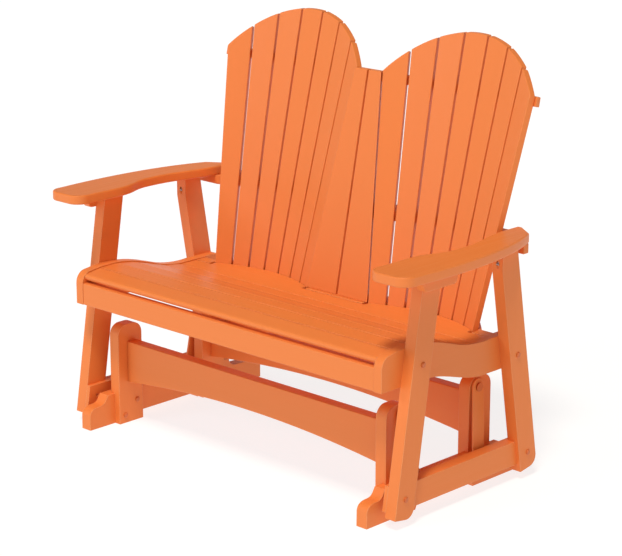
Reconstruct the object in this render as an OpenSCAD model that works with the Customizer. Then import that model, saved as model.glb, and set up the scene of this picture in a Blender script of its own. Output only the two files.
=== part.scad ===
// Double Adirondack porch glider in recycled-plastic lumber.
// X runs along the seat, Y runs from front to back, Z is up, and the floor is Z = 0.
// X = 0 is the plane of symmetry and Y = 0 is the middle of the overall depth.

/* [Lumber] */
// Thickness of the legs, uprights, runners, lower rails and stretchers
lumber = 37; // [36:0.5:38]
// Thickness of the seat end boards, supports, apron, arms and back rails
board = 28; // [26:0.5:29]
// Thickness of the seat and back slats
slat = 19; // [17:0.5:20]
// Width of a leg board
leg_w = 71; // [66:1:76]

/* [Seat] */
// Distance between the outer faces of the seat end boards
seat_w = 1212; // [1208:1:1214]
// Height of the seat's front crest
crest_z = 485; // [480:1:488]
// Height of the lowest part of the seat
dip_z = 430; // [428:1:432]
// Height of the arm tops
arm_z = 712; // [708:1:716]

/* [Back] */
// Distance from the middle of the glider to the axis of each back fan
fan_x = 318; // [316:1:320]
// Distance between the fan axis and the slat fronts at seat height
fan_r = 417; // [415:1:420]
// Angle between neighbouring back slats
fan_step = 8.06; // [8:0.01:8.1]
// Height of the top of the back
back_z = 1205.5; // [1180:0.5:1230]
// Gap between neighbouring back slats
slat_gap = 6.5; // [3:0.5:8]

/* [Base] */
// Height of the runners
runner_h = 93; // [90:1:94]
// Height of the uprights
upright_h = 308; // [304:1:312]
// Width of an upright
upright_w = 93; // [88:1:96]

/* [Swing links] */
// Height of the upper pivots
upper_z = 280; // [278:1:282]
// Height of the lower pivots
lower_z = 80; // [78:1:82]
// Width of a swing link
link_w = 47; // [44:1:50]
// Thickness of a swing link
link_t = 6; // [5:0.5:8]

/* [Hidden] */
$fn = 64;
orange = [0.86, 0.42, 0.16];
steel = [0.72, 0.72, 0.74];

// Stations along Y
upright_y = [-232, 111.5];
stretcher_y = [-225.5, 118.5];
swing_y = -60.25;
upper_half = 154.25;
lower_half = 133.75;
runner_front = -377;
runner_rear = 339;
seat_front = -358;
end_rear = 191;
arm_front = -378;
foot_y = [-309, 229];
leg_lean = [-9.0, 9.6];

// Faces along X on the right-hand side, from the middle outwards
upright_in = 516;
upright_out = upright_in + lumber;
runner_in = upright_out - 15;
runner_out = runner_in + lumber;
end_out = seat_w / 2;
end_in = end_out - board;
leg_in = end_out;
leg_out = leg_in + lumber;
rail_in = leg_in - 12;
rail_out = rail_in + lumber;

// Heights
leg_top = arm_z - board;
leg_foot = 24;
rail_z = [45, 115];
apron_z = [380, 446];
stretcher_z = [126, 255];
arch_rise = 34;

// Fasteners
bolt_r = 4;
bolt_hole_r = 4.2;
cap_r = 8;
cap_h = 4.5;
pin_r = 6;
pin_start = upright_in + 7;
bush_r = 11;
running_gap = 0.05;
loose_gap = 1.2;

// Everything on the right-hand side is also made on the left by mirroring
module on_side(side) {
    mirror([side < 0 ? 1 : 0, 0, 0]) children();
}

// Puts an outline drawn in (Y, Z) upright, with its thickness from X = x0 to x1
module slab_x(x0, x1) {
    translate([x0, 0, 0])
        rotate([90, 0, 90])
            linear_extrude(x1 - x0) children();
}

// A cylinder along X from x0 to x1 at (y, z)
module rod_x(x0, x1, y, z, r) {
    translate([x0, y, z])
        rotate([0, 90, 0])
            cylinder(h = x1 - x0, r = r);
}

// A low domed cap along X, with its flat side at x and its dome towards dir
module cap_x(x, dir, y, z) {
    translate([x, y, z])
        rotate([0, 90 * dir, 0])
            rotate_extrude()
                polygon([[0, 0], [cap_r, 0], [cap_r, cap_h - 2], [cap_r - 2.5, cap_h], [0, cap_h]]);
}

// Points on a cubic curve from a to d
function bend(a, b, c, d, n = 10) =
    [for (i = [0:n]) let (t = i / n, u = 1 - t)
        u * u * u * a + 3 * u * u * t * b + 3 * u * t * t * c + t * t * t * d];

// Points on an arc about centre c
function arc(c, r, a0, a1, n = 8) =
    [for (i = [0:n]) let (a = a0 + (a1 - a0) * i / n) c + r * [cos(a), sin(a)]];

// ---------------------------------------------------------------- seat shape

crest_y = -248;
crest_r = 459;
dip_y = 57;
dip_r = 391.6;
join_y = -83.4;
flat_y = 85;

// Height of the seat's edge at station y: a crest arc, then a dip arc, then flat
function seat_edge(y) =
    y < join_y ? crest_z - crest_r + sqrt(crest_r * crest_r - pow(y - crest_y, 2))
    : dip_z + dip_r - sqrt(dip_r * dip_r - pow(min(y, flat_y) - dip_y, 2));

// Lower edge of the end boards: level, an easy slope down, then level again
under_z = [apron_z[0], 333];
under_y = [-190, 62];
function under_edge(y) =
    let (t = (min(max(y, under_y[0]), under_y[1]) - under_y[0]) / (under_y[1] - under_y[0]))
    under_z[1] + (under_z[0] - under_z[1]) * (1 + cos(180 * t)) / 2;

nose_r = 36;
function edge_points(y0, y1, drop = 0, n = 22) =
    [for (i = [0:n]) let (y = y0 + (y1 - y0) * i / n) [y, seat_edge(y) - drop]];
function under_points(y0, y1, n = 12) =
    [for (i = [0:n]) let (y = y0 + (y1 - y0) * i / n) [y, under_edge(y)]];

module seat_end_outline() {
    nose_y = seat_front + nose_r;
    polygon(concat(
        [[seat_front, under_z[0]]],
        arc([nose_y, seat_edge(nose_y) - nose_r], nose_r, 180, 90),
        edge_points(nose_y + 4, flat_y),
        [[end_rear, seat_edge(flat_y)], [end_rear, under_z[1]]],
        under_points(under_y[1], under_y[0])
    ));
}

// Seat boards run between the end boards, each one flat between two stations
slat_inset = 3;
slat_count = 6;
slat_pitch = 65.2;
joint_gap = 3.5;
seat_joints = concat([-350], [for (i = [0:slat_count - 1]) -287 + i * slat_pitch]);
board_rear = seat_joints[slat_count] + slat_pitch;
support_drop = slat_inset + slat + 3.6;

support_front = seat_front + board + 3;
support_rear = board_rear - 5;

module seat_support_outline() {
    polygon(concat(
        edge_points(support_front, support_rear, support_drop),
        under_points(support_rear, support_front)
    ));
}

// ---------------------------------------------------------------- base

module runner_outline() {
    shoulder = 67;
    toe = 38;
    difference() {
        polygon(concat(
            [[runner_front, 0], [runner_front, toe]],
            bend([runner_front, toe], [runner_front, shoulder - 4],
                 [runner_front + 18, shoulder], [runner_front + 40, shoulder]),
            bend([runner_front + 42, shoulder], [runner_front + 62, shoulder + 1],
                 [runner_front + 64, runner_h - 10], [runner_front + 72, runner_h]),
            [[194, runner_h]],
            bend([196, runner_h], [202, shoulder + 8], [212, shoulder], [230, shoulder - 1]),
            bend([290, shoulder - 3], [322, shoulder - 4], [runner_rear, shoulder - 10],
                 [runner_rear, toe]),
            [[runner_rear, 0]]
        ));
        polygon([[-182, -1], [-174, 16], [54, 16], [62, -1]]);
    }
}

base_bolt_at = [[24, 64], [-24, 25]];

module runner(side) {
    color(orange) on_side(side) difference() {
        slab_x(runner_in, runner_out) runner_outline();
        for (y = upright_y, b = base_bolt_at)
            rod_x(runner_in - 1, runner_out + 1, y + b[0], b[1], bolt_hole_r);
    }
}

module upright_outline(y) {
    r = 34;
    x0 = y - upright_w / 2;
    x1 = y + upright_w / 2;
    polygon(concat(
        [[x0, 0], [x1, 0]],
        arc([x1 - r, upright_h - r], r, 0, 90),
        arc([x0 + r, upright_h - r], r, 90, 180)
    ));
}

module upright(side, row) {
    y = upright_y[row];
    color(orange) on_side(side) difference() {
        slab_x(upright_in, upright_out) upright_outline(y);
        translate([runner_in, y - upright_w, -1])
            cube([lumber, 2 * upright_w, runner_h + 1]);
        rod_x(pin_start, upright_out + 1, upper_y(row), upper_z, pin_r);
        for (b = base_bolt_at)
            rod_x(upright_in - 1, upright_out + 1, y + b[0], b[1], bolt_hole_r);
    }
}

module stretcher(row) {
    arch_r = (upright_in * upright_in + arch_rise * arch_rise) / (2 * arch_rise);
    color(orange)
        translate([0, stretcher_y[row] + lumber / 2, 0])
            rotate([90, 0, 0])
                linear_extrude(lumber) difference() {
                    translate([-upright_in, stretcher_z[0]])
                        square([2 * upright_in, stretcher_z[1] - stretcher_z[0]]);
                    translate([0, stretcher_z[0] + arch_rise - arch_r])
                        circle(r = arch_r, $fn = 480);
                }
}

module base_bolts() {
    color(orange)
        for (side = [-1, 1], y = upright_y, b = base_bolt_at)
            on_side(side) {
                rod_x(upright_in, runner_out - 2, y + b[0], b[1], bolt_r);
                cap_x(upright_in, -1, y + b[0], b[1]);
            }
}

// ---------------------------------------------------------------- swing links

// Each link leans outwards, to pass outside the runner, and its foot leans inwards
link_lean = 0.111;
link_top_x = upright_out + 1;
function link_face(z) = link_top_x + link_lean * (upper_z + link_w / 2 - z);
link_dy = upper_half - lower_half;
link_dz = upper_z - lower_z;
link_len = sqrt(link_dy * link_dy + link_dz * link_dz);
link_angle = atan(link_dy / link_dz);
link_tilt = atan(link_lean * cos(link_angle));
upper_bush = [upright_out + 0.8, upright_out + 11.6];
lower_bush = [runner_out + 3.8, rail_in - 0.8];
cap_face = upper_bush[1] + 0.4;
flange_r = 12.5;
flange_h = 3;

function upper_y(row) = swing_y + (row == 0 ? -1 : 1) * upper_half;
function lower_y(row) = swing_y + (row == 0 ? -1 : 1) * lower_half;

// The link's board, lying flat with its upper pivot at the origin and its foot at -Y
module link_board() {
    foot = link_len / cos(link_tilt);
    linear_extrude(link_t) {
        translate([0, -foot]) circle(d = link_w);
        circle(d = link_w);
        translate([-link_w / 2, -foot]) square([link_w, foot]);
    }
}

module link(side, row) {
    swing = row == 0 ? 1 : -1;
    color(orange) on_side(side) difference() {
        translate([link_face(upper_z), upper_y(row), upper_z])
            rotate([swing * link_angle, 0, 0])
                rotate([0, -link_tilt, 0])
                    rotate([90, 0, 90])
                        link_board();
        rod_x(upright_in, leg_out, upper_y(row), upper_z, bush_r);
        rod_x(upright_in, leg_out, lower_y(row), lower_z, bush_r);
    }
}

module bushing(x0, x1, y, z, bore) {
    difference() {
        rod_x(x0, x1, y, z, bush_r);
        rod_x(x0 - 1, x1 + 1, y, z, bore);
    }
}

// The front links carry the open pivots, so their lower bores are loose
module link_bushings(side, row) {
    lower_bore = pin_r + (row == 0 ? loose_gap : running_gap);
    color("dimgray") on_side(side) {
        bushing(upper_bush[0], upper_bush[1], upper_y(row), upper_z, pin_r + running_gap);
        bushing(lower_bush[0], lower_bush[1], lower_y(row), lower_z, lower_bore);
    }
}

module upper_pivot_pins() {
    color(steel)
        for (side = [-1, 1], row = [0, 1])
            on_side(side) {
                rod_x(pin_start, cap_face, upper_y(row), upper_z, pin_r);
                rod_x(cap_face, cap_face + flange_h, upper_y(row), upper_z, flange_r);
            }
}

pin_head = [runner_out + 1.2, runner_out + 3.4];
pin_end = rail_out - 8;
module lower_pivot_pins() {
    color(steel)
        for (side = [-1, 1], row = [0, 1])
            on_side(side) {
                rod_x(pin_head[0], pin_end, lower_y(row), lower_z, pin_r);
                rod_x(pin_head[0], pin_head[1], lower_y(row), lower_z, bush_r - 1);
            }
}

// ---------------------------------------------------------------- seat frame

// A leg board: its foot has a big round on the rear corner, and its top is level
module leg_outline(row) {
    a = leg_lean[row];
    round_r = 29;
    lowest = row == 0 ? leg_foot + round_r - round_r * cos(a) : leg_foot + leg_w / 2 * sin(a);
    intersection() {
        translate([foot_y[row] - leg_w * 2, 0])
            square([leg_w * 4, leg_top]);
        translate([foot_y[row], 0])
            rotate(a)
                translate([-leg_w / 2, lowest / cos(a)]) {
                    square([leg_w - round_r, leg_top * 1.2]);
                    translate([0, round_r]) square([leg_w, leg_top * 1.2]);
                    translate([leg_w - round_r, round_r]) circle(r = round_r);
                }
    }
}

function leg_centre(row, z) = foot_y[row] - z * tan(leg_lean[row]);
function leg_edge(row, z, dir) = leg_centre(row, z) + dir * leg_w / 2 / cos(leg_lean[row]);
leg_bolts = [[[-237, 440], [-299, 81]], [[163, 375], [218, 77]]];
pocket_r = 5.5;
pocket_z = leg_top - 46;
pocket_depth = 24;
pocket_slant = 28;

// A slanting screw hole, in a front leg's rear edge and in a rear leg's front edge
module pocket(row, r) {
    dir = row == 0 ? 1 : -1;
    translate([leg_in + lumber / 2, leg_edge(row, pocket_z, dir), pocket_z])
        rotate([pocket_slant * dir, 0, 0])
            translate([0, 0, -8])
                cylinder(h = pocket_depth + 8, r = r);
}

module leg(side, row) {
    color(orange) on_side(side) difference() {
        slab_x(leg_in, leg_out) leg_outline(row);
        for (b = leg_bolts[row])
            rod_x(leg_in - 1, leg_out + 1, b[0], b[1], bolt_hole_r);
        pocket(row, pocket_r);
    }
}

// Front and rear ends follow the legs; dirs are -1 for a leg's front edge, 1 for its rear edge
module rail_outline(dir_front, dir_rear) {
    polygon([
        [leg_edge(0, rail_z[0], dir_front), rail_z[0]],
        [leg_edge(1, rail_z[0], dir_rear), rail_z[0]],
        [leg_edge(1, rail_z[1], dir_rear), rail_z[1]],
        [leg_edge(0, rail_z[1], dir_front), rail_z[1]]
    ]);
}

module lower_rail(side) {
    color(orange) on_side(side) difference() {
        union() {
            slab_x(rail_in, leg_in) rail_outline(-1, 1);
            slab_x(leg_in, rail_out) rail_outline(1, -1);
        }
        for (row = [0, 1]) {
            rod_x(rail_in - 1, leg_in + 1, leg_bolts[row][1][0], leg_bolts[row][1][1], bolt_hole_r);
            rod_x(rail_in - 1, pin_end, lower_y(row), lower_z, pin_r);
        }
    }
}

module seat_end(side) {
    color(orange) on_side(side) difference() {
        slab_x(end_in, end_out) seat_end_outline();
        for (row = [0, 1])
            rod_x(end_in - 1, end_out + 1, leg_bolts[row][0][0], leg_bolts[row][0][1], bolt_hole_r);
    }
}

module seat_cleats() {
    cleat_h = 37;
    color(orange)
        for (side = [-1, 1])
            on_side(side) difference() {
                slab_x(end_in - board, end_in)
                    polygon(concat(
                        edge_points(support_front, support_rear, support_drop),
                        edge_points(support_rear, support_front, support_drop + cleat_h)
                    ));
                for (row = [0, 1])
                    rod_x(end_in - 2 * board, end_out, leg_bolts[row][0][0],
                          leg_bolts[row][0][1], cap_r + 1.5);
            }
}

module seat_support() {
    color(orange)
        slab_x(-board / 2, board / 2) seat_support_outline();
}

module apron() {
    color(orange)
        translate([-end_in, seat_front + 1, apron_z[0]])
            cube([2 * end_in, board, apron_z[1] - apron_z[0]]);
}

// Seat slat i lies between stations i - 1 and i; the first has a bullnose front edge
module seat_slat(i) {
    y0 = seat_joints[i - 1];
    y1 = seat_joints[i] - joint_gap;
    z0 = seat_edge(y0) - slat_inset;
    z1 = seat_edge(y1) - slat_inset;
    run = sqrt(pow(y1 - y0, 2) + pow(z1 - z0, 2));
    nose = i == 1 ? slat / 2 : 0;
    color(orange)
        slab_x(-end_in + 1, end_in - 1)
            translate([y0, z0])
                rotate(atan2(z1 - z0, y1 - y0))
                    translate([0, -slat]) {
                        translate([nose, 0]) square([run - nose, slat]);
                        if (nose > 0)
                            translate([nose, slat / 2]) circle(r = nose);
                    }
}

// ---------------------------------------------------------------- back

fan_y = -249;
fan_z = 425;
fan_slope = 0.2355;
fan_count = 7;
fan_lean = atan(fan_slope);
crown_r = 347;
slat_foot = 402;
centre_front = [119, 432];
centre_slope = 0.2022;
centre_top = 1076;
fan_half = fan_count * fan_step / 2;

function fan_radius(z) = fan_r + (z - fan_z) * fan_slope;

// The space inside a fan of radius offset by extra, between heights z0 and z1
module fan_cone(side, extra, z0, z1) {
    translate([side * fan_x, fan_y, z0])
        cylinder(h = z1 - z0, r1 = fan_radius(z0) + extra, r2 = fan_radius(z1) + extra, $fn = 360);
}

// The space between each fan's two outer edges at seat height
module fan_columns(z0, z1, extra = 0) {
    reach = (fan_r + slat) * sin(fan_half) + extra;
    for (side = [-1, 1])
        translate([side * fan_x - reach, 0, z0])
            cube([2 * reach, 250, z1 - z0]);
}

module back_slat(side, i) {
    turn = (i - (fan_count + 1) / 2) * fan_step;
    rise = (back_z + 10 - slat_foot) / cos(fan_lean);
    grip = tan(fan_step / 2);
    w0 = fan_radius(slat_foot) * grip - slat_gap / 2;
    w1 = fan_radius(back_z + 10) * grip - slat_gap / 2;
    color(orange) intersection() {
        translate([side * fan_x, fan_y, slat_foot])
            rotate([0, 0, -turn])
                translate([0, fan_radius(slat_foot), 0])
                    rotate([90 - fan_lean, 0, 0])
                        translate([0, 0, -slat])
                            linear_extrude(slat)
                                polygon([[-w0, 0], [w0, 0], [w1, rise], [-w1, rise]]);
        translate([side * fan_x, 0, 0]) {
            translate([0, 500, back_z - crown_r])
                rotate([90, 0, 0])
                    cylinder(h = 1000, r = crown_r, $fn = 180);
            translate([-crown_r, -500, slat_foot])
                cube([2 * crown_r, 1000, back_z - crown_r - slat_foot]);
        }
    }
}

// The two middle slats fill the flat wedge between the fans, just past each fan's boundary
module back_slat_centre(side) {
    spread = tan(fan_half);
    far_y = centre_front[0] + 200;
    near_y = centre_front[0] - 20;
    past = 0.5;
    function wedge_x(y) = fan_x - (y - fan_y) * spread + past;
    color(orange) on_side(side) intersection() {
        translate([0, 0, dip_z - slat_inset])
            linear_extrude(centre_top - dip_z + slat_inset)
                polygon([[slat_gap / 2, near_y], [wedge_x(near_y), near_y],
                         [wedge_x(far_y), far_y], [slat_gap / 2, far_y]]);
        translate([0, centre_front[0], centre_front[1]])
            rotate([-atan(centre_slope), 0, 0])
                translate([0, 0, -100])
                    cube([fan_x, slat, 900]);
    }
}

// What the slats take out of a back rail's front edge
module slat_space(z0, z1) {
    centre_half = 130;
    swell = slat / cos(fan_lean) / cos(fan_step / 2) + fan_radius(z1) * (1 / cos(fan_step / 2) - 1);
    for (side = [-1, 1])
        fan_cone(side, swell + 0.3, z0, z1);
    translate([0, centre_front[0], centre_front[1]])
        rotate([-atan(centre_slope), 0, 0])
            translate([-centre_half, -200, -100])
                cube([2 * centre_half, 200 + slat + 0.3, 900]);
}

module back_rail_seat() {
    top = dip_z - slat_inset;
    front = board_rear + 1;
    end_y = 143;
    shoulder_x = 530;
    rear = [465, 212];
    color(orange) difference() {
        translate([0, 0, top - board])
            linear_extrude(board)
                polygon([[-end_in, front], [end_in, front], [end_in, end_y], [shoulder_x, end_y],
                         rear, [-rear[0], rear[1]], [-shoulder_x, end_y], [-end_in, end_y]]);
        intersection() {
            slat_space(top - board - 5, top + 5);
            fan_columns(top - board - 5, top + 5);
        }
    }
}

module back_rail_arm() {
    end_x = 640;
    end_y = [180, 200];
    rear = [566, 285];
    color(orange) difference() {
        translate([0, 0, leg_top - board])
            linear_extrude(board)
                polygon([[-end_x, end_y[0]], [end_x, end_y[0]], [end_x, end_y[1]],
                         rear, [-rear[0], rear[1]], [-end_x, end_y[1]]]);
        slat_space(leg_top - board - 5, leg_top + 5);
    }
}

module back_rail_top() {
    middle_z = 1048;
    hinge_y = 320;
    end_x = 602;
    end_y = [266, 280];
    rear = [525, 374];
    color(orange) difference() {
        translate([0, hinge_y, middle_z])
            rotate([-fan_lean, 0, 0])
                translate([0, -hinge_y, -board / 2])
                    linear_extrude(board)
                        polygon([[-end_x, end_y[0]], [end_x, end_y[0]], [end_x, end_y[1]],
                                 rear, [-rear[0], rear[1]], [-end_x, end_y[1]]]);
        slat_space(middle_z - 60, middle_z + 60);
    }
}

// The rear seat board has a straight rear edge, with a lobe reaching back into each fan
module seat_board_rear() {
    top = dip_z - slat_inset;
    front = seat_joints[slat_count];
    color(orange) intersection() {
        translate([-end_in + 1, front, top - slat])
            cube([2 * end_in - 2, 170 - front, slat]);
        union() {
            translate([-end_in, front, top - 2 * slat])
                cube([2 * end_in, board_rear - joint_gap - front, 3 * slat]);
            for (side = [-1, 1])
                intersection() {
                    fan_cone(side, -1, top - 2 * slat, top + slat);
                    fan_columns(top - 2 * slat, top + slat, -14);
                }
        }
    }
}

// ---------------------------------------------------------------- arms

module arm_outline() {
    corner = 40;
    inner = end_in - 11;
    waist = inner + 34;
    outer = 702;
    polygon(concat(
        arc([inner + corner, arm_front + corner], corner, 180, 270),
        arc([outer - corner, arm_front + corner], corner, 270, 360),
        bend([outer, arm_front + corner + 14], [712, -180], [712, 40], [638, 205], 18),
        [[583, 244]],
        bend([inner + 6, 244], [inner + 1, 244], [inner, 240], [inner, 232], 4),
        bend([inner, 190], [inner, 90], [waist, 60], [waist, -45], 14),
        bend([waist, -60], [waist, -140], [inner, -130], [inner, -225])
    ));
}

module arm(side) {
    color(orange) on_side(side)
        translate([0, 0, leg_top])
            linear_extrude(board) arm_outline();
}

module arm_brackets() {
    low = leg_top - 37;
    color(orange)
        for (side = [-1, 1])
            on_side(side)
                slab_x(leg_out, leg_out + board)
                    polygon(concat(
                        [[-280, leg_top], [-280, leg_top - 8]],
                        bend([-266, low + 6], [-262, low], [-258, low], [-250, low], 4),
                        bend([-154, low], [-143, low], [-138, low + 3], [-136, low + 10], 4),
                        [[-128, leg_top]]
                    ));
}

// ---------------------------------------------------------------- fasteners

module frame_bolts() {
    color(orange)
        for (side = [-1, 1], row = [0, 1])
            on_side(side) {
                rod_x(end_in, leg_out, leg_bolts[row][0][0], leg_bolts[row][0][1], bolt_r);
                cap_x(end_in, -1, leg_bolts[row][0][0], leg_bolts[row][0][1]);
                rod_x(rail_in + 1, leg_out, leg_bolts[row][1][0], leg_bolts[row][1][1], bolt_r);
                for (b = leg_bolts[row])
                    cap_x(leg_out, 1, b[0], b[1]);
            }
}

runner(-1);  // runner_left
runner(1);  // runner_right
upright(-1, 0);  // upright_front_left
upright(1, 0);  // upright_front_right
upright(-1, 1);  // upright_rear_left
upright(1, 1);  // upright_rear_right
stretcher(0);  // stretcher_front
stretcher(1);  // stretcher_rear
base_bolts();
upper_pivot_pins();
link(-1, 0);  // link_front_left
link(1, 0);  // link_front_right
link(-1, 1);  // link_rear_left
link(1, 1);  // link_rear_right
link_bushings(-1, 0);  // link_bushings_front_left
link_bushings(1, 0);  // link_bushings_front_right
link_bushings(-1, 1);  // link_bushings_rear_left
link_bushings(1, 1);  // link_bushings_rear_right
leg(-1, 0);  // leg_front_left
leg(1, 0);  // leg_front_right
leg(-1, 1);  // leg_rear_left
leg(1, 1);  // leg_rear_right
lower_rail(-1);  // lower_rail_left
lower_rail(1);  // lower_rail_right
lower_pivot_pins();
seat_end(-1);  // seat_end_left
seat_end(1);  // seat_end_right
seat_cleats();
seat_support();
apron();
seat_board_rear();
back_slat_centre(-1);  // back_slat_centre_left
back_slat_centre(1);  // back_slat_centre_right
back_rail_seat();
back_rail_arm();
back_rail_top();
arm(-1);  // arm_left
arm(1);  // arm_right
arm_brackets();
frame_bolts();
for (i = [1:slat_count])
    seat_slat(i);
for (i = [1:fan_count]) {
    back_slat(-1, i);
    back_slat(1, i);
}
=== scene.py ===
"""Looks for the double Adirondack porch glider: satin through-coloured plastic lumber."""

import math

import bmesh
import bpy
from mathutils import Matrix, Vector


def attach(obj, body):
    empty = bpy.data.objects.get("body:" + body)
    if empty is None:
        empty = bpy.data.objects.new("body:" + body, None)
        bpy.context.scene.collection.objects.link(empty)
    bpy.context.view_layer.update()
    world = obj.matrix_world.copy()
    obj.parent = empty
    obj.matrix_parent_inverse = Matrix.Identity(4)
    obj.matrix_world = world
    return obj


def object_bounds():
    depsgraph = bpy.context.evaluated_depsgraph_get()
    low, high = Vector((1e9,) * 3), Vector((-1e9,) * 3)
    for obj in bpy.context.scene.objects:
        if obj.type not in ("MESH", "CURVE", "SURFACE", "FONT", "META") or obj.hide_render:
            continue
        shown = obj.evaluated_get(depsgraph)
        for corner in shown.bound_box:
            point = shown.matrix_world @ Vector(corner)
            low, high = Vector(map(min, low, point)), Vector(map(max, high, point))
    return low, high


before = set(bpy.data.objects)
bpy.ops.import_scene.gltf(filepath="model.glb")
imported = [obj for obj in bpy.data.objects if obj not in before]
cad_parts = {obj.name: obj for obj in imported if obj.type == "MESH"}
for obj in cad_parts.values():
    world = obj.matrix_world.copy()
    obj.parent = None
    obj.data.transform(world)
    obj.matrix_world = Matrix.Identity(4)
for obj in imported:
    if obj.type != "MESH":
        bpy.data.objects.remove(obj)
cad_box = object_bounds()
MM = 0.001
WHITE = (1, 1, 1, 1)

# ------------------------------------------------------------------ camera

AZIMUTH = math.radians(43.7)
ELEVATION = math.radians(15.8)
EYE = Vector((4.1855, -4.3681, 2.2139))
SENSOR_MM = 36.0
LENS_MM = 126.5
VIEW_RANGE = 200


def add_camera():
    """The camera looks along the photograph's direction, from EYE."""
    back = Vector((
        math.sin(AZIMUTH) * math.cos(ELEVATION),
        -math.cos(AZIMUTH) * math.cos(ELEVATION),
        math.sin(ELEVATION),
    ))
    right = Vector((0, 0, 1)).cross(back).normalized()
    up = back.cross(right)
    data = bpy.data.cameras.new("camera")
    data.sensor_width = SENSOR_MM
    data.lens = LENS_MM
    data.clip_end = VIEW_RANGE
    camera = bpy.data.objects.new("camera", data)
    turn = Matrix((right, up, back)).transposed().to_4x4()
    camera.matrix_world = Matrix.Translation(EYE) @ turn
    bpy.context.collection.objects.link(camera)
    bpy.context.scene.camera = camera


# ------------------------------------------------------------------ shader helpers

BUMP_STRENGTH = 0.5
NOISE_ROUGHNESS = 0.55


class Shader:
    """A material's node tree, with short calls for the nodes used here."""

    def __init__(self, name):
        self.material = bpy.data.materials.new(name)
        self.material.use_nodes = True
        self.tree = self.material.node_tree
        self.tree.nodes.clear()
        self.output = self.tree.nodes.new("ShaderNodeOutputMaterial")
        self.shader = self.tree.nodes.new("ShaderNodeBsdfPrincipled")
        self.link(self.shader.outputs["BSDF"], self.output.inputs["Surface"])

    def link(self, a, b):
        self.tree.links.new(a, b)

    def put(self, socket, value):
        """Sets a socket to a constant, or links another node's output to it."""
        if isinstance(value, bpy.types.NodeSocket):
            self.link(value, socket)
        else:
            socket.default_value = value

    def set(self, name, value):
        """Gives one of the surface shader's inputs its value."""
        self.put(self.shader.inputs[name], value)

    def math(self, operation, a, b):
        node = self.tree.nodes.new("ShaderNodeMath")
        node.operation = operation
        self.put(node.inputs[0], a)
        self.put(node.inputs[1], b)
        return node.outputs[0]

    def coordinates(self, scale, offset=None):
        """Object coordinates stretched by scale; offset shifts them along all three axes."""
        texture = self.tree.nodes.new("ShaderNodeTexCoord")
        mapping = self.tree.nodes.new("ShaderNodeMapping")
        mapping.inputs["Scale"].default_value = scale
        self.link(texture.outputs["Object"], mapping.inputs["Vector"])
        if offset is not None:
            self.link(offset, mapping.inputs["Location"])
        return mapping.outputs["Vector"]

    def noise(self, vector, scale, detail, roughness=NOISE_ROUGHNESS):
        node = self.tree.nodes.new("ShaderNodeTexNoise")
        self.link(vector, node.inputs["Vector"])
        node.inputs["Scale"].default_value = scale
        node.inputs["Detail"].default_value = detail
        node.inputs["Roughness"].default_value = roughness
        return node.outputs[0]

    def remap(self, value, start, end):
        """Turns values in the range start, a pair, into the range end, without overshoot."""
        node = self.tree.nodes.new("ShaderNodeMapRange")
        self.put(node.inputs["Value"], value)
        for name, number in zip(("From Min", "From Max", "To Min", "To Max"), (*start, *end)):
            node.inputs[name].default_value = number
        return node.outputs[0]

    def mix(self, factor, a, b):
        node = self.tree.nodes.new("ShaderNodeMix")
        node.data_type = "RGBA"
        self.put(node.inputs[0], factor)
        self.put(node.inputs[6], a)
        self.put(node.inputs[7], b)
        return node.outputs[2]

    def bump(self, height, distance, normal=None):
        node = self.tree.nodes.new("ShaderNodeBump")
        node.inputs["Distance"].default_value = distance
        node.inputs["Strength"].default_value = BUMP_STRENGTH
        self.link(height, node.inputs["Height"])
        if normal is not None:
            self.link(normal, node.inputs["Normal"])
        return node.outputs[0]

    def rounded(self, radius):
        """Normals as if every edge had that radius."""
        node = self.tree.nodes.new("ShaderNodeBevel")
        node.inputs["Radius"].default_value = radius
        return node.outputs["Normal"]

    def edges(self, round_normal):
        """Grows from 0 on flat faces to about 0.3 on a square edge."""
        geometry = self.tree.nodes.new("ShaderNodeNewGeometry")
        dot = self.tree.nodes.new("ShaderNodeVectorMath")
        dot.operation = "DOT_PRODUCT"
        self.link(geometry.outputs["Normal"], dot.inputs[0])
        self.link(round_normal, dot.inputs[1])
        return self.math("SUBTRACT", 1.0, dot.outputs["Value"])

    def random(self):
        """A number from 0 to 1, different for each piece."""
        return self.tree.nodes.new("ShaderNodeObjectInfo").outputs["Random"]


# ------------------------------------------------------------------ materials

ORANGE = (0.830, 0.222, 0.050, 1)
DEEP_ORANGE = (0.765, 0.190, 0.038, 1)
# Lighter orange painted along every edge as a painted highlight
EDGE_HIGHLIGHT_ORANGE = (0.970, 0.500, 0.240, 1)
PATTERN_SHIFT = 37.0
# Pattern cells per metre, across a board and along it
STREAKS = (130.0, 3.0)
CLOUDS = (9.0, 1.2)
STREAK_DETAIL = 5.0
STREAK_ROUGHNESS = 0.62
CLOUD_DETAIL = 3.0
SPECKS = 900.0
SPECK_DETAIL = 2.0
STREAK_SHARE = 0.45
TINT_RANGE = (0.36, 0.66)
TINT_DEPTH = 0.14
BOARD_TONE = 0.10
# Radius of the rounded edges in the shading; the next two set how strongly a painted highlight
# of lighter orange is laid along those edges
EDGE_SHADING_RADIUS_MM = 2.5
EDGE_HIGHLIGHT_RANGE = (0.01, 0.20)
EDGE_HIGHLIGHT_DEPTH = 0.80
LUMBER_ROUGHNESS = (0.36, 0.50)
LUMBER_SPECULAR = 0.28
STREAK_RELIEF_MM = 0.12
SPECK_RELIEF_MM = 0.05
NOISE_RANGE = (0.3, 0.7)


def along_grain(cells, axis):
    """Pattern scales for a board that runs along that axis."""
    across, along = cells
    scale = [across] * 3
    scale[axis] = along
    return scale


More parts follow.
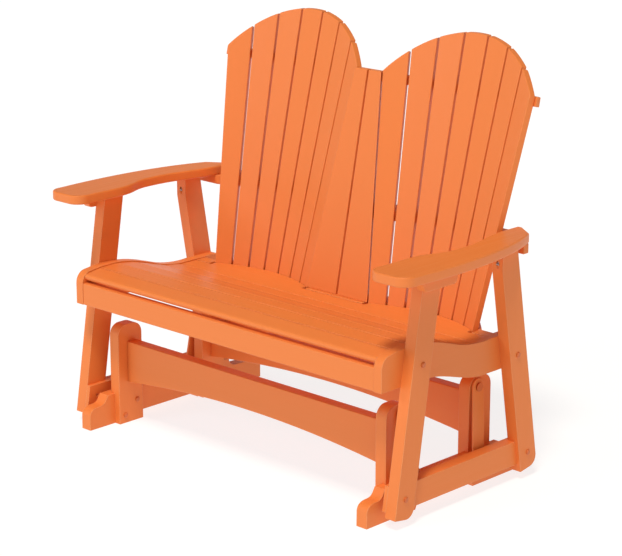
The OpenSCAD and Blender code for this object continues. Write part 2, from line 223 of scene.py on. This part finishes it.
def lumber(name, axis):
    """Satin plastic lumber whose drawn grain runs along axis 0, 1 or 2."""
    s = Shader(name)
    random = s.random()
    shift = s.math("MULTIPLY", random, PATTERN_SHIFT)
    streaks = s.coordinates(along_grain(STREAKS, axis), shift)
    grain = s.noise(streaks, 1.0, STREAK_DETAIL, STREAK_ROUGHNESS)
    cloud = s.noise(s.coordinates(along_grain(CLOUDS, axis), shift), 1.0, CLOUD_DETAIL)
    speck = s.noise(s.coordinates((1, 1, 1), shift), SPECKS, SPECK_DETAIL)

    streak_tint = s.math("MULTIPLY", grain, STREAK_SHARE)
    tint = s.math("ADD", streak_tint, s.math("MULTIPLY", cloud, 1 - STREAK_SHARE))
    colour = s.mix(s.remap(tint, TINT_RANGE, (0.0, TINT_DEPTH)), ORANGE, DEEP_ORANGE)
    colour = s.mix(s.remap(random, (0.0, 1.0), (0.0, BOARD_TONE)), colour, DEEP_ORANGE)
    # Edges are rounded in the shading, and a lighter orange is painted along them as a painted
    # highlight
    round_normal = s.rounded(EDGE_SHADING_RADIUS_MM * MM)
    painted_highlight = s.remap(s.edges(round_normal), EDGE_HIGHLIGHT_RANGE, (0.0, EDGE_HIGHLIGHT_DEPTH))
    s.set("Base Color", s.mix(painted_highlight, colour, EDGE_HIGHLIGHT_ORANGE))

    s.set("Roughness", s.remap(grain, NOISE_RANGE, LUMBER_ROUGHNESS))
    s.set("Specular IOR Level", LUMBER_SPECULAR)
    specked = s.bump(speck, SPECK_RELIEF_MM * MM, round_normal)
    s.set("Normal", s.bump(grain, STREAK_RELIEF_MM * MM, specked))
    return s.material


CAP_ORANGE = (0.72, 0.16, 0.035, 1)
CAP_ROUGHNESS = 0.42
NYLON_ORANGE = (0.50, 0.09, 0.02, 1)
NYLON_ROUGHNESS = 0.5
SKIN_CELLS = 700.0
SKIN_DETAIL = 3.0
SKIN_SHADE = 0.8
SKIN_ROUGHNESS_SPREAD = 0.06
SKIN_RELIEF_MM = 0.06
MOULDED_SPECULAR = 0.45


def moulded(name, colour, roughness):
    """Moulded nylon or plastic with a fine orange-peel skin."""
    s = Shader(name)
    skin = s.noise(s.coordinates((1, 1, 1)), SKIN_CELLS, SKIN_DETAIL)
    shade = tuple(c * SKIN_SHADE for c in colour[:3]) + (1,)
    s.set("Base Color", s.mix(s.remap(skin, NOISE_RANGE, (0.0, 1.0)), colour, shade))
    spread = (roughness - SKIN_ROUGHNESS_SPREAD, roughness + SKIN_ROUGHNESS_SPREAD)
    s.set("Roughness", s.remap(skin, NOISE_RANGE, spread))
    s.set("Specular IOR Level", MOULDED_SPECULAR)
    s.set("Normal", s.bump(skin, SKIN_RELIEF_MM * MM))
    return s.material


STEEL_LIGHT = (0.62, 0.61, 0.59, 1)
STEEL_DARK = (0.42, 0.41, 0.40, 1)
STEEL_ROUGHNESS = (0.26, 0.42)
TOOL_MARKS = (220.0, 2600.0, 2600.0)
MARK_DETAIL = 3.0
MARK_RELIEF_MM = 0.03


def stainless(name):
    """Turned stainless steel with fine tool marks."""
    s = Shader(name)
    marks = s.noise(s.coordinates(TOOL_MARKS), 1.0, MARK_DETAIL)
    s.set("Base Color", s.mix(s.remap(marks, NOISE_RANGE, (0, 1)), STEEL_LIGHT, STEEL_DARK))
    s.set("Metallic", 1.0)
    s.set("Roughness", s.remap(marks, NOISE_RANGE, STEEL_ROUGHNESS))
    s.set("Normal", s.bump(marks, MARK_RELIEF_MM * MM))
    return s.material


# ------------------------------------------------------------------ CAD nodes

SMALL_PARTS = ("bolts", "pins", "bushings")
# Boards with holes or notches keep their bevels from running into each other
DRILLED_OR_NOTCHED = (
    "back_rail", "leg", "upright", "runner", "seat_end", "lower_rail", "link",
)
ALONG_X = ("seat_slat", "seat_board", "stretcher", "apron", "back_rail")
ALONG_Y = ("runner", "lower_rail", "arm", "seat_end", "seat_cleats", "seat_support")
EDGE_MM = {
    "arm_left": 5.0, "arm_right": 5.0, "apron": 3.0, "arm_brackets": 3.0,
    "link_front_left": 1.2, "link_front_right": 1.2,
    "link_rear_left": 1.2, "link_rear_right": 1.2,
}
BOARD_EDGE_MM = 3.2
SEAT_EDGE_MM = 1.5
SLAT_EDGE_MM = 2.0
RUNNER_EDGE_MM = 2.0
SMALL_EDGE_MM = 0.8
EDGE_SEGMENTS = 3
SHARP_EDGE = math.radians(28)
FLAT_FACETS = math.radians(0.4)
RUNNER_FACETS = math.radians(5.0)
WELD_MM = 0.01
NORMAL_WEIGHT = 80


def edge_radius(name):
    if name in EDGE_MM:
        return EDGE_MM[name] * MM
    if name.endswith(SMALL_PARTS) or "bushings" in name:
        return SMALL_EDGE_MM * MM
    if name.startswith(("seat_slat", "seat_board")):
        return SEAT_EDGE_MM * MM
    if name.startswith("back_slat"):
        return SLAT_EDGE_MM * MM
    if name.startswith("runner"):
        return RUNNER_EDGE_MM * MM
    return BOARD_EDGE_MM * MM


def grain_axis(name):
    """Axis along which a board was extruded."""
    if name.startswith(ALONG_X):
        return 0
    if name.startswith(ALONG_Y):
        return 1
    return 2


def soften(piece, radius):
    """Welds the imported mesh, merges its flat facets and rounds its sharp edges."""
    weld = piece.modifiers.new("weld", "WELD")
    weld.merge_threshold = WELD_MM * MM
    flat = piece.modifiers.new("flat", "DECIMATE")
    flat.decimate_type = "DISSOLVE"
    flat.angle_limit = RUNNER_FACETS if piece.name.startswith("runner") else FLAT_FACETS
    bevel = piece.modifiers.new("edges", "BEVEL")
    bevel.width = radius
    bevel.segments = EDGE_SEGMENTS
    bevel.limit_method = "ANGLE"
    bevel.angle_limit = SHARP_EDGE
    bevel.use_clamp_overlap = piece.name.startswith(DRILLED_OR_NOTCHED)
    bevel.harden_normals = False
    normals = piece.modifiers.new("normals", "WEIGHTED_NORMAL")
    normals.keep_sharp = False
    normals.weight = NORMAL_WEIGHT


def dress_cad(materials):
    for name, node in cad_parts.items():
        if "pins" in name:
            look = materials["steel"] if name.startswith("lower") else materials["cap"]
        elif "bushings" in name:
            look = materials["bushing"]
        elif "bolts" in name:
            look = materials["cap"]
        else:
            look = materials["lumber"][grain_axis(name)]
        node.data.materials.clear()
        node.data.materials.append(look)
        soften(node, edge_radius(name))


# ------------------------------------------------------------------ pocket screws

POCKET_Z_MM = 638.0
POCKET_X_MM = 624.5
POCKET_SLANT = math.radians(28)
POCKET_MOUTH_DOWN_MM = 4.0
LEG_HALF_WIDTH_MM = 35.5
# Each leg row: the foot's station, the lean in degrees, and the edge that the pocket is in
LEG_ROWS = {"front": (-309.0, -9.0, 1), "rear": (229.0, 9.6, -1)}
SCREW_RADIUS_MM = 4.6
SCREW_HEAD_MM = 2.6
SHANK_RADIUS_MM = 1.9
SHANK_END_MM = 9.0
SOCKET_RADIUS_MM = 1.8
SOCKET_DEPTH_MM = 1.7
# The turned outline, radius and height, from the socket's floor out over the head to the tip
SCREW_OUTLINE_MM = (
    (0.0, -SOCKET_DEPTH_MM),
    (SOCKET_RADIUS_MM, -SOCKET_DEPTH_MM),
    (SOCKET_RADIUS_MM, -0.15),
    (SOCKET_RADIUS_MM * 1.15, 0.0),
    (SCREW_RADIUS_MM * 0.7, -0.25),
    (SCREW_RADIUS_MM * 0.93, -0.9),
    (SCREW_RADIUS_MM, -SCREW_HEAD_MM * 0.65),
    (SCREW_RADIUS_MM, -SCREW_HEAD_MM),
    (SHANK_RADIUS_MM, -SCREW_HEAD_MM),
    (SHANK_RADIUS_MM, -SHANK_END_MM),
    (0.0, -SHANK_END_MM),
)
SCREW_STEPS = 32
SCREW_SHARP = math.radians(40)


def screw_ring(bm, radius, z):
    """One ring of the turned screw, or a single point on its axis."""
    count = SCREW_STEPS if radius else 1
    turns = [math.tau * i / SCREW_STEPS for i in range(count)]
    return [
        bm.verts.new((radius * MM * math.cos(t), radius * MM * math.sin(t), z * MM))
        for t in turns
    ]


def screw_mesh(place):
    """A pan-head screw with a drive socket, its head's top at Z = 0 before it is placed."""
    bm = bmesh.new()
    rings = [screw_ring(bm, radius, z) for radius, z in SCREW_OUTLINE_MM]
    for lower, upper in zip(rings, rings[1:]):
        for i in range(SCREW_STEPS):
            j = (i + 1) % SCREW_STEPS
            corners = [
                lower[i % len(lower)], lower[j % len(lower)],
                upper[j % len(upper)], upper[i % len(upper)],
            ]
            bm.faces.new(list(dict.fromkeys(corners)))
    bmesh.ops.recalc_face_normals(bm, faces=bm.faces)
    bm.transform(place)
    mesh = bpy.data.meshes.new("screw")
    bm.to_mesh(mesh)
    bm.free()
    mesh.polygons.foreach_set("use_smooth", [True] * len(mesh.polygons))
    mesh.set_sharp_from_angle(angle=SCREW_SHARP)
    return mesh


def add_screws(look):
    """Angled screws seen in the pockets of the legs' inner edges."""
    sunk = Matrix.Translation((0, 0, -POCKET_MOUTH_DOWN_MM * MM))
    for row, (foot, lean, edge) in LEG_ROWS.items():
        slope = math.radians(lean)
        y = foot - POCKET_Z_MM * math.tan(slope) + edge * LEG_HALF_WIDTH_MM / math.cos(slope)
        tilt = Matrix.Rotation(math.pi + POCKET_SLANT * edge, 4, "X")
        for side, name in ((-1, "left"), (1, "right")):
            mouth = Vector((side * POCKET_X_MM, y, POCKET_Z_MM)) * MM
            mesh = screw_mesh(Matrix.Translation(mouth) @ tilt @ sunk)
            mesh.materials.append(look)
            piece = bpy.data.objects.new(f"pocket_screw_{row}_{name}", mesh)
            bpy.context.collection.objects.link(piece)
            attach(piece, "seat_frame")


# ------------------------------------------------------------------ stage and light

FLOOR_HALF = 60.0
FLOOR_GREY = (0.26, 0.26, 0.26, 1)
FLOOR_ROUGHNESS = 0.9
FLOOR_SPECULAR = 0.1
FLOOR_GLOW = 0.80
FLOOR_DROP_MM = 0.2
# Brightness of the walls at the horizon and overhead, and where the change lies
HORIZON = 1.0
ZENITH = 0.17
FADE_HEIGHTS = (0.08, 0.30)
# Direction round the object, height, strength, spread (degrees) and colour
SUNS = {
    "top": (25, 66, 2.15, 12, (1.0, 0.98, 0.86)),
    "front": (-20, 24, 0.55, 20, (0.95, 1.0, 1.35)),
    "right": (75, 30, 0.08, 30, (1, 1, 1)),
}


def add_floor():
    """A pale floor with a little light of its own, so that it stays white round the object."""
    mesh = bpy.data.meshes.new("floor")
    h = FLOOR_HALF
    mesh.from_pydata([(-h, -h, 0), (h, -h, 0), (h, h, 0), (-h, h, 0)], [], [(0, 1, 2, 3)])
    floor = bpy.data.objects.new("floor", mesh)
    s = Shader("floor")
    s.set("Base Color", FLOOR_GREY)
    s.set("Roughness", FLOOR_ROUGHNESS)
    s.set("Specular IOR Level", FLOOR_SPECULAR)
    s.set("Emission Color", WHITE)
    s.set("Emission Strength", FLOOR_GLOW)
    mesh.materials.append(s.material)
    bpy.context.collection.objects.link(floor)
    floor.location.z = cad_box[0][2] - FLOOR_DROP_MM * MM


def add_sun(name, azimuth, elevation, energy, spread, colour):
    """A distant soft light from that compass direction round the object, in degrees."""
    data = bpy.data.lights.new(name, "SUN")
    data.energy = energy
    data.angle = math.radians(spread)
    data.color = colour
    sun = bpy.data.objects.new(name, data)
    sun.rotation_euler = (math.radians(90 - elevation), 0, math.radians(azimuth))
    bpy.context.collection.objects.link(sun)


def add_world():
    """White walls, bright at the horizon and dimmer overhead."""
    world = bpy.data.worlds.new("studio")
    world.use_nodes = True
    tree = world.node_tree
    background = tree.nodes["Background"]
    background.inputs["Color"].default_value = WHITE
    texture = tree.nodes.new("ShaderNodeTexCoord")
    split = tree.nodes.new("ShaderNodeSeparateXYZ")
    fade = tree.nodes.new("ShaderNodeMapRange")
    fade.interpolation_type = "SMOOTHSTEP"
    limits = (*FADE_HEIGHTS, HORIZON, ZENITH)
    for name, number in zip(("From Min", "From Max", "To Min", "To Max"), limits):
        fade.inputs[name].default_value = number
    tree.links.new(texture.outputs["Generated"], split.inputs["Vector"])
    tree.links.new(split.outputs["Z"], fade.inputs["Value"])
    tree.links.new(fade.outputs["Result"], background.inputs["Strength"])
    bpy.context.scene.world = world


# ------------------------------------------------------------------ the scene

MATERIALS = {
    "lumber": [lumber(f"lumber_{axis}", i) for i, axis in enumerate("xyz")],
    "cap": moulded("bolt_cap", CAP_ORANGE, CAP_ROUGHNESS),
    "bushing": moulded("nylon_bushing", NYLON_ORANGE, NYLON_ROUGHNESS),
    "steel": stainless("stainless"),
}
add_camera()
dress_cad(MATERIALS)
add_screws(MATERIALS["steel"])
add_floor()
add_world()
for sun_name, settings in SUNS.items():
    add_sun(sun_name, *settings)
bpy.context.scene.view_settings.view_transform = "Standard"
